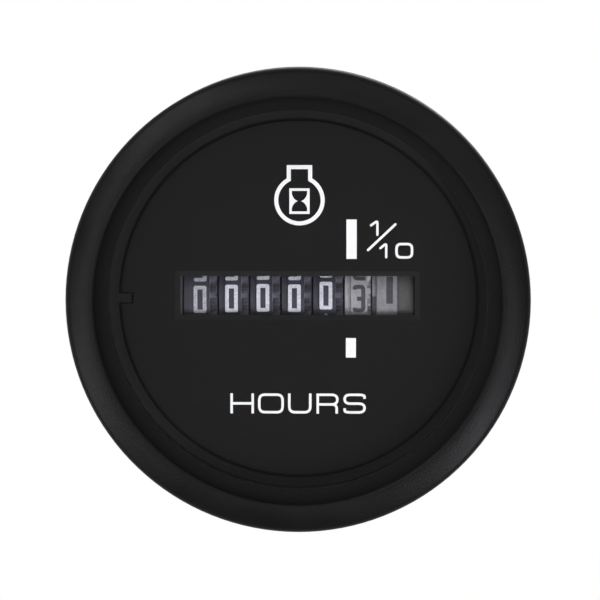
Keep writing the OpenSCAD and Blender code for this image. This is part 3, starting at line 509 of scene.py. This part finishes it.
def ink(faces, place, proud=INK_PROUD, sunk=INK_SUNK):
    """Points and faces of a thin print: a union of flat faces, laid on a surface by place(u, v, height)."""
    points, loops = [], []
    for face in faces:
        loops.append(list(range(len(points), len(points) + len(face))))
        points += [Vector(p) for p in face]
    flat, _, triangles, _, _, owners = delaunay_2d_cdt(points, [], loops, 1, MERGE_REACH, True)
    triangles = [t for t, owner in zip(triangles, owners) if owner]
    used = sorted({i for t in triangles for i in t})
    number = {i: k for k, i in enumerate(used)}
    triangles = [[number[i] for i in t] for t in triangles]
    count = len(used)
    solid = [place(flat[i].x, flat[i].y, proud) for i in used]
    solid += [place(flat[i].x, flat[i].y, -sunk) for i in used]
    edges = {(t[k], t[(k + 1) % 3]) for t in triangles for k in range(3)}
    walls = [[a, b, b + count, a + count] for a, b in edges if (b, a) not in edges]
    return solid, triangles + [[i + count for i in reversed(t)] for t in triangles] + walls


def joined(parts):
    """One list of points and faces from several."""
    points, faces = [], []
    for more_points, more_faces in parts:
        faces += [[i + len(points) for i in face] for face in more_faces]
        points += more_points
    return points, faces


def on_dial(x, z, height):
    """Point on the dial's front."""
    return (x, dial_y - height, z)


def on_wheel(middle_x, turn, radius):
    """Places for a print on a wheel: u runs along the shaft and v up its front."""
    def place(u, v, height):
        angle = math.radians(turn) + v / radius
        reach = radius + height
        return (middle_x + u, wheel_y - reach * math.cos(angle), reach * math.sin(angle))
    return place


def box_path(low, high):
    """Corners of a box."""
    return [(low[0], low[1]), (high[0], low[1]), (high[0], high[1]), (low[0], high[1])]


def glyph(sign, w, h, s, corner=None):
    """Faces of a figure or letter in a box of w by h with stroke s, from its lower left corner."""
    left, right, low, high = s / 2, w - s / 2, s / 2, h - s / 2
    middle_x, middle = w / 2, h / 2
    hook = h * HOOK_SHARE
    bowl, leg = middle - s / 3, right - s / 4
    paths = {
        "0": [(box_path((left, low), (right, high)), True)],
        "1": [([(middle_x, 0), (middle_x, high), (left, high - hook)], False)],
        "2": [([(left, high - hook), (left, high), (right, high), (right, middle), (left, middle),
                (left, low), (w, low)], False)],
        "3": [([(left, high - hook / 2), (left, high), (right, high), (right, low), (left, low),
                (left, low + hook / 2)], False), ([(middle_x - s / 2, middle), (right, middle)], False)],
        "4": [([(left, h), (left, middle - s), (w, middle - s)], False),
              ([(right - s, high), (right - s, 0)], False)],
        "5": [([(w, high), (left, high), (left, middle), (right, middle), (right, low), (0, low)], False)],
        "6": [([(right, high), (left, high), (left, low), (right, low), (right, middle),
                (left, middle)], False)],
        "7": [([(0, high), (right, high), (middle_x, middle), (middle_x, 0)], False)],
        "8": [(box_path((left, low), (right, high)), True), ([(left, middle), (right, middle)], False)],
        "9": [([(left, low), (right, low), (right, high), (left, high), (left, middle),
                (right, middle)], False)],
        "H": [([(left, 0), (left, h)], False), ([(right, 0), (right, h)], False),
              ([(left, middle), (right, middle)], False)],
        "O": [(box_path((left, low), (right, high)), True)],
        "U": [([(left, h), (left, low), (right, low), (right, h)], False)],
        "R": [([(left, 0), (left, h)], False),
              ([(left, high), (right, high), (right, bowl), (left, bowl)], False),
              ([(middle_x, bowl), (leg, bowl), (leg, 0)], False)],
        "S": [([(right, high - hook), (right, high), (left, high), (left, middle), (right, middle),
                (right, low), (left, low), (left, low + hook)], False)],
    }
    faces = []
    for corners, closed in paths[sign]:
        if corner is None:
            faces += jointed(corners, s, closed)
        else:
            faces += stroke(rounded(corners, corner, closed), s, closed)
    return faces


def moved(faces, x, y):
    """Flat faces at another place."""
    return [[Vector(p) + Vector((x, y)) for p in face] for face in faces]


# Figures of the number wheels, each a little off its line as the carries left it
for number, node in enumerate(FIGURED_WHEELS):
    tenths = node == "tenths_wheel"
    middle = figure_x + (number - HOUR_WHEELS.index("units_wheel")) * wheel_pitch
    middle += 0 if tenths else FIGURE_SHIFT
    drift = math.degrees(FIGURE_DRIFT[number] / wheel_r)
    style = (TENTHS_STROKE, FIGURE_CORNER) if tenths else (FIGURE_STROKE, None)
    prints = []
    for figure in range(FIGURES):
        turn = (FIGURE_SHOWN[number] - figure) * 360 / FIGURES + drift
        shape = glyph(str(figure), FIGURE_W, FIGURE_H, *style)
        prints.append(ink(moved(shape, -FIGURE_W / 2, -FIGURE_H / 2), on_wheel(middle, turn, wheel_r)))
    name = node.replace("wheel", "figures")
    piece(name, mesh_of(name, *joined(prints)), node, FIGURE_INKS.get(node, FIGURE_INK))


# Blocks of the run wheel: their left and right ends along the drum and their lower and upper ends in degrees
RUN_REPEATS = 5
DARK_BLOCKS = [(1.2, 2.06, -7, 23.5)]
GREY_BLOCKS = [(0, 1.0, 9, 20)]
DISC_DARK = [(0, 0.5, -22, 1)]
DISC_GREY = [(0.06, 0.65, 9, 20)]
DISC_R = 6.2


def run_blocks(blocks, start_x, radius):
    """Blocks printed round the run wheel."""
    prints = []
    for low_x, high_x, low_turn, high_turn in blocks:
        half = math.radians(high_turn - low_turn) / 2 * radius
        steps = math.ceil(2 * half / INK_STEP)
        levels = [-half + 2 * half * k / steps for k in range(steps + 1)]
        faces = [[(low_x, a), (high_x, a), (high_x, b), (low_x, b)] for a, b in zip(levels, levels[1:])]
        for repeat in range(RUN_REPEATS):
            turn = (low_turn + high_turn) / 2 + repeat * 360 / RUN_REPEATS
            prints.append(ink(faces, on_wheel(start_x, turn, radius)))
    return joined(prints)


for name, on_drum, on_disc, finish in (("run_blocks_dark", DARK_BLOCKS, DISC_DARK, DARK_INK),
                                       ("run_blocks_grey", GREY_BLOCKS, DISC_GREY, GREY_INK)):
    prints = [run_blocks(on_drum, run_drum_x, wheel_r), run_blocks(on_disc, run_disc_x, DISC_R)]
    piece(name, mesh_of(name, *joined(prints)), "run_wheel", finish)


def round_shaft(reach, along, angle):
    """Point round the wheel shaft's axis."""
    return (along, wheel_y - reach * math.cos(angle), reach * math.sin(angle))


def round_face(reach, along, angle):
    """Point round the face's axis."""
    return (reach * math.cos(angle), along, reach * math.sin(angle))


def revolved(name, profile, place, turns, smooth=False):
    """Ring with a closed profile of reach from an axis and place along it."""
    points, faces = [], []
    count = len(profile)
    for k in range(turns):
        points += [place(reach, along, k * math.tau / turns) for reach, along in profile]
        here, there = count * k, count * ((k + 1) % turns)
        for i in range(count):
            after = (i + 1) % count
            faces.append([here + i, here + after, there + after, there + i])
    return mesh_of(name, points, faces, smooth)


# Band round the run wheel's collar
collar_r = wheel_r - COLLAR_STEP
collar_box = box_path((collar_x, collar_r - INK_SUNK), (collar_end, collar_r + INK_PROUD))
collar_profile = [(reach, along) for along, reach in collar_box]
piece("collar_band", revolved("collar_band", collar_profile, round_shaft, COLLAR_TURNS),
      "run_wheel", COLLAR_INK)

# Lip of the gasket, squeezed out between the bezel and the lens
gasket_low, gasket_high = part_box("lens_gasket")
bead_y = (gasket_low.y + gasket_high.y) / 2 / MM
bead_half = (gasket_high.y - gasket_low.y) / 2 / MM - BEAD_CLEAR
bead_profile = [(VIEW_R + BEAD_W, bead_y + bead_half), (VIEW_R + BEAD_W, bead_y - bead_half)]
for k in range(BEAD_STEPS + 1):
    swing = math.pi * (k / BEAD_STEPS - 0.5)
    bead_profile.append((VIEW_R + BEAD_CROWN - BEAD_PROUD - BEAD_CROWN * math.cos(swing),
                         bead_y + bead_half * math.sin(swing)))
piece("gasket_lip", revolved("gasket_lip", bead_profile, round_face, BEAD_TURNS, True),
      "housing", FINISHES["gasket_rubber"])


# Legends of the dial
def word_faces():
    """The word under the counter."""
    faces = []
    for letter, x, width in WORD:
        faces += moved(glyph(letter, width, WORD_H, WORD_STROKE, WORD_CORNER), x, WORD_Z)
    return faces


def fraction_faces():
    """The sign for one tenth."""
    line, slash_line = 0.31, 0.32
    zero_w, zero_h, zero_line, zero_corner = 2.34, 2.06, 0.33, 0.62
    zero_place = (12.51, 5.17)
    corner = 0.1
    upper = [(9.38, 9.5), (10.05, 9.97), (10.19, 9.9), (10.19, 8.27)]
    lower = [(10.58, 6.53), (11.2, 7.03), (11.34, 6.97), (11.34, 5.36)]
    slash = [(8.99, 6.29), (12.52, 9.62)]
    faces = []
    for path, width in ((upper, line), (lower, line), (slash, slash_line)):
        faces += stroke(rounded(path, corner), width, round_ends=True)
    return faces + moved(glyph("0", zero_w, zero_h, zero_line, zero_corner), *zero_place)


def bar_faces():
    """The two bars that mark the tenths."""
    faces = []
    for x, z, w, h in BARS:
        faces.append([Vector(p) for p in box_path((x - w / 2, z - h / 2), (x + w / 2, z + h / 2))])
    return faces


def symbol_faces():
    """Standard sign for running hours: an engine's outline round an hourglass."""
    centre = Vector((0.09, 12.74))
    ring_r, line = 3.01, 0.53
    neck, neck_top = 1.385, 4.29
    glass_w, glass_h, glass_line = 2.64, 3.32, 0.33
    glass_centre = Vector((0.0, -0.12))
    waist, bend_w, bend_h = 0.19, 0.94, 0.18
    ring_steps, glass_steps = 48, 8
    start = math.acos(neck / ring_r)
    sweep = math.pi + 2 * start
    turns = [start - sweep * k / ring_steps for k in range(ring_steps + 1)]
    outline = [Vector((ring_r * math.cos(t), ring_r * math.sin(t))) for t in turns]
    outline += [Vector((-neck, neck_top)), Vector((neck, neck_top))]
    faces = stroke(outline, line, True)
    half_w, half_h = glass_w / 2 - glass_line / 2, glass_h / 2 - glass_line / 2
    glass_box = [Vector(p) for p in box_path((-half_w, -half_h), (half_w, half_h))]
    faces += moved(stroke(glass_box, glass_line, True), *glass_centre)
    shares = [k / glass_steps for k in range(glass_steps + 1)]
    for side in (-1, 1):
        rim = half_w - glass_line / 4
        tip, top = Vector((side * waist, 0)), Vector((side * rim, half_h))
        bend = Vector((side * rim * bend_w, half_h * bend_h))
        upper = [top * (1 - t) ** 2 + bend * (2 * t * (1 - t)) + tip * t ** 2 for t in shares]
        lower = [Vector((p.x, -p.y)) for p in reversed(upper)]
        half_glass = upper + lower[1:]
        faces += moved([half_glass if side > 0 else half_glass[::-1]], *glass_centre)
    return moved(faces, *centre)


for name, faces in (("legend_word", word_faces()), ("legend_fraction", fraction_faces()),
                    ("legend_bars", bar_faces()), ("legend_symbol", symbol_faces())):
    piece(name, mesh_of(name, *ink(faces, on_dial)), "housing", WHITE_INK)


# Threaded studs
THREAD_PITCH = 0.794
THREAD_DEPTH = 0.42
THREAD_FLANK = 1.15
THREAD_ROUND = 40
THREAD_ROWS = 10
STUD_CHAMFER = 0.6
STUD_HEAD_T = 1.5
STUD_HEAD_R = 3.28
STUD_PRESS_R = 2.48
WALL_INSIDE = 39.5
VALLEY_FROM = 0.1
VALLEY_PAINTED_SHADE = (0.16, 0.15, 0.13)


def stud(x, radius, start, tip):
    """Points and faces of a stud along Y whose thread starts at the case's boss."""
    rings = [(WALL_INSIDE - STUD_HEAD_T, STUD_HEAD_R), (WALL_INSIDE, STUD_HEAD_R),
             (WALL_INSIDE, STUD_PRESS_R), (start, STUD_PRESS_R), (start, radius - THREAD_DEPTH)]
    rows = math.ceil((tip - start) / THREAD_PITCH * THREAD_ROWS)
    points = [[(r, y)] * THREAD_ROUND for y, r in rings]
    for row in range(1, rows + 1):
        y = start + (tip - start) * row / rows
        limit = radius - max(0, STUD_CHAMFER - (tip - y))
        ring = []
        for k in range(THREAD_ROUND):
            phase = ((y - start) / THREAD_PITCH - k / THREAD_ROUND) % 1
            crest = radius - THREAD_DEPTH * min(1, abs(2 * phase - 1) * THREAD_FLANK)
            ring.append((min(limit, crest), y))
        points.append(ring)
    places, faces = [], []
    for ring in points:
        for k, (r, y) in enumerate(ring):
            angle = k * math.tau / THREAD_ROUND
            places.append((x + r * math.cos(angle), y, r * math.sin(angle)))
    for row in range(len(points) - 1):
        for k in range(THREAD_ROUND):
            here, there = row * THREAD_ROUND + k, row * THREAD_ROUND + (k + 1) % THREAD_ROUND
            faces.append([here, there, there + THREAD_ROUND, here + THREAD_ROUND])
    last = (len(points) - 1) * THREAD_ROUND
    return places, faces + [list(range(THREAD_ROUND)), [last + k for k in range(THREAD_ROUND)]]


clamp = mounts["clamp_studs"]
stud_x = clamp["dims"]["pcd_mm"] / 2
stud_r = clamp["dims"]["stud_r_mm"]
stud_start = clamp["pos_m"][1] / MM
stud_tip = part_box("mounting_studs")[1].y / MM
stud_finish = FINISHES["plated_steel"]
stud_places = (-stud_x, stud_x)
# The thread valleys are painted darker, a painted shade in the thread's hollows
valleys = [radial(stud_finish, stud_r - VALLEY_FROM, stud_r - THREAD_DEPTH, centre=(x, 0, 0))
           for x in stud_places]
painted(stud_finish, combined(stud_finish.node_tree, "MAXIMUM", *valleys), VALLEY_PAINTED_SHADE)
stud_shapes = joined([stud(x, stud_r, stud_start, stud_tip) for x in stud_places])
studs = piece("threaded_studs", mesh_of("threaded_studs", *stud_shapes), "housing", stud_finish)
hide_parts("mounting_studs")

# Raised polarity marks on the rear wall, one by each terminal
BOSS_H = 1.5
REAR_RECESS = 0.6
MARK_W = 2.6
MARK_LINE = 0.6
MARK_RISE = 2.4
MARK_PROUD = 0.25
MARK_SUNK = 0.1
rear_y = stud_start - BOSS_H - REAR_RECESS


def on_rear(x, z, height):
    """Point on the rear wall's recess."""
    return (x, rear_y + height, z)


across = [Vector((-MARK_W / 2, 0)), Vector((MARK_W / 2, 0))]
upright = [Vector((0, -MARK_W / 2)), Vector((0, MARK_W / 2))]
for name, node, lines in (("mark_plus", "positive_terminal", (across, upright)),
                          ("mark_minus", "negative_terminal", (across,))):
    low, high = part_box(node)
    faces = []
    for line in lines:
        faces += stroke(line, MARK_LINE, round_ends=True)
    faces = moved(faces, (low.x + high.x) / 2 / MM, high.z / MM + MARK_RISE + MARK_W / 2)
    shape = mesh_of(name, *ink(faces, on_rear, MARK_PROUD, MARK_SUNK))
    piece(name, shape, "housing", FINISHES["case_plastic"])


# Camera at the photograph's angle
def turned(azimuth, elevation):
    """Direction from the object towards a place round it."""
    a, e = math.radians(azimuth), math.radians(elevation)
    return Vector((math.sin(a) * math.cos(e), -math.cos(a) * math.cos(e), math.sin(e)))


bezel_low, bezel_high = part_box("bezel")
target = Vector((0, OUTLINE_Y * MM, 0))
camera_data = bpy.data.cameras.new("camera")
camera = bpy.data.objects.new("camera", camera_data)
bpy.context.scene.collection.objects.link(camera)
bpy.context.scene.camera = camera
field = (bezel_high.x - bezel_low.x) * IMAGE_PX / OBJECT_PX
camera_data.lens = camera_data.sensor_width * CAMERA_DISTANCE / field
camera_data.shift_x = (IMAGE_PX / 2 - OBJECT_CENTRE_PX[0]) / IMAGE_PX
camera_data.shift_y = (OBJECT_CENTRE_PX[1] - IMAGE_PX / 2) / IMAGE_PX
to_camera = turned(CAMERA_AZIMUTH, CAMERA_ELEVATION)
camera.location = target + to_camera * CAMERA_DISTANCE
camera.rotation_euler = (-to_camera).to_track_quat("-Z", "Y").to_euler()


# Soft lamps: turn and tilt in degrees, distance, length and width in metres, power in watts, colour
LAMPS = {
    "lamp_top_left": (130, 43, 0.5, 0.5, 0.12, 2.02, (1, 0.99, 1)),
    "lamp_low_left": (206, 43, 0.5, 0.5, 0.12, 2.19, (1, 0.99, 0.99)),
    "lamp_low_right": (319, 42, 0.5, 0.5, 0.12, 2.98, (0.95, 0.94, 1)),
    "lamp_fill": (65, 45, 0.9, 0.9, 0.9, 4.24, (1, 1, 1)),
}


def off_axis(turn, tilt):
    """Direction that leans from the face's axis by a tilt, towards a turn round the face."""
    turn, tilt = math.radians(turn), math.radians(tilt)
    return Vector((math.sin(tilt) * math.cos(turn), -math.cos(tilt), math.sin(tilt) * math.sin(turn)))


# The lens takes no glare from the lamps, which would veil the dial from some sides
off_lens = bpy.data.collections.new("off_lens")
off_lens.objects.link(frame["nodes"]["lens"])
off_lens.collection_objects[0].light_linking.link_state = "EXCLUDE"

for name, (turn, tilt, distance, length, width, power, colour) in LAMPS.items():
    lamp_data = bpy.data.lights.new(name, "AREA")
    lamp_data.shape = "RECTANGLE"
    lamp_data.size, lamp_data.size_y = length, width
    lamp_data.energy, lamp_data.color = power, colour
    lamp = bpy.data.objects.new(name, lamp_data)
    bpy.context.scene.collection.objects.link(lamp)
    outwards = off_axis(turn, tilt)
    lamp.location = target + outwards * distance
    aim = (-outwards).to_track_quat("-Z", "Y") @ Quaternion((0, 0, 1), math.radians(turn))
    lamp.rotation_euler = aim.to_euler()
    lamp.light_linking.receiver_collection = off_lens


# White background behind the object, and a dimmer room in front of it for the lens to reflect
ROOM_FRONT = 0.15
ROOM_BACK = 0.95
ROOM_TURN = (-0.7, 0.3)
world = bpy.data.worlds.new("studio")
bpy.context.scene.world = world
world.use_nodes = True
nodes, links = world.node_tree.nodes, world.node_tree.links
direction = nodes.new("ShaderNodeTexCoord")
parts = nodes.new("ShaderNodeSeparateXYZ")
links.new(direction.outputs["Generated"], parts.inputs["Vector"])
behind = nodes.new("ShaderNodeMapRange")
behind.inputs["From Min"].default_value, behind.inputs["From Max"].default_value = ROOM_TURN
links.new(parts.outputs["Y"], behind.inputs["Value"])
room = nodes.new("ShaderNodeMapRange")
room.inputs["To Min"].default_value, room.inputs["To Max"].default_value = ROOM_FRONT, ROOM_BACK
links.new(behind.outputs["Result"], room.inputs["Value"])
background = shown(world.node_tree, behind.outputs["Result"])
level = combined(world.node_tree, "MAXIMUM", background, room.outputs["Result"])
links.new(level, nodes["Background"].inputs["Strength"])
nodes["Background"].inputs["Color"].default_value = (1, 1, 1, 1)

# Pale floor, out of the front view
floor_mesh = bpy.data.meshes.new("floor")
floor_turns = [k * math.tau / FLOOR_SIDES for k in range(FLOOR_SIDES)]
floor_points = [(FLOOR_R * math.cos(t), FLOOR_R * math.sin(t), -FLOOR_DROP) for t in floor_turns]
floor_mesh.from_pydata(floor_points, [], [list(range(FLOOR_SIDES))])
floor = bpy.data.objects.new("floor", floor_mesh)
bpy.context.scene.collection.objects.link(floor)
floor_finish = material("floor_white", (0.85, 0.85, 0.85), 0.8, grain=2, patch=80, change=0.01, bump=0.02)
floor_tree = floor_finish.node_tree
nodes, links = floor_tree.nodes, floor_tree.links
glow = nodes.new("ShaderNodeEmission")
mix = nodes.new("ShaderNodeMixShader")
links.new(combined(floor_tree, "MULTIPLY", shown(floor_tree, 1), FLOOR_GLOW), mix.inputs["Fac"])
links.new(nodes["Principled BSDF"].outputs["BSDF"], mix.inputs[1])
links.new(glow.outputs["Emission"], mix.inputs[2])
links.new(mix.outputs["Shader"], nodes["Material Output"].inputs["Surface"])
floor_mesh.materials.append(floor_finish)
floor.visible_glossy = False

bpy.context.scene.view_settings.view_transform = "Standard"
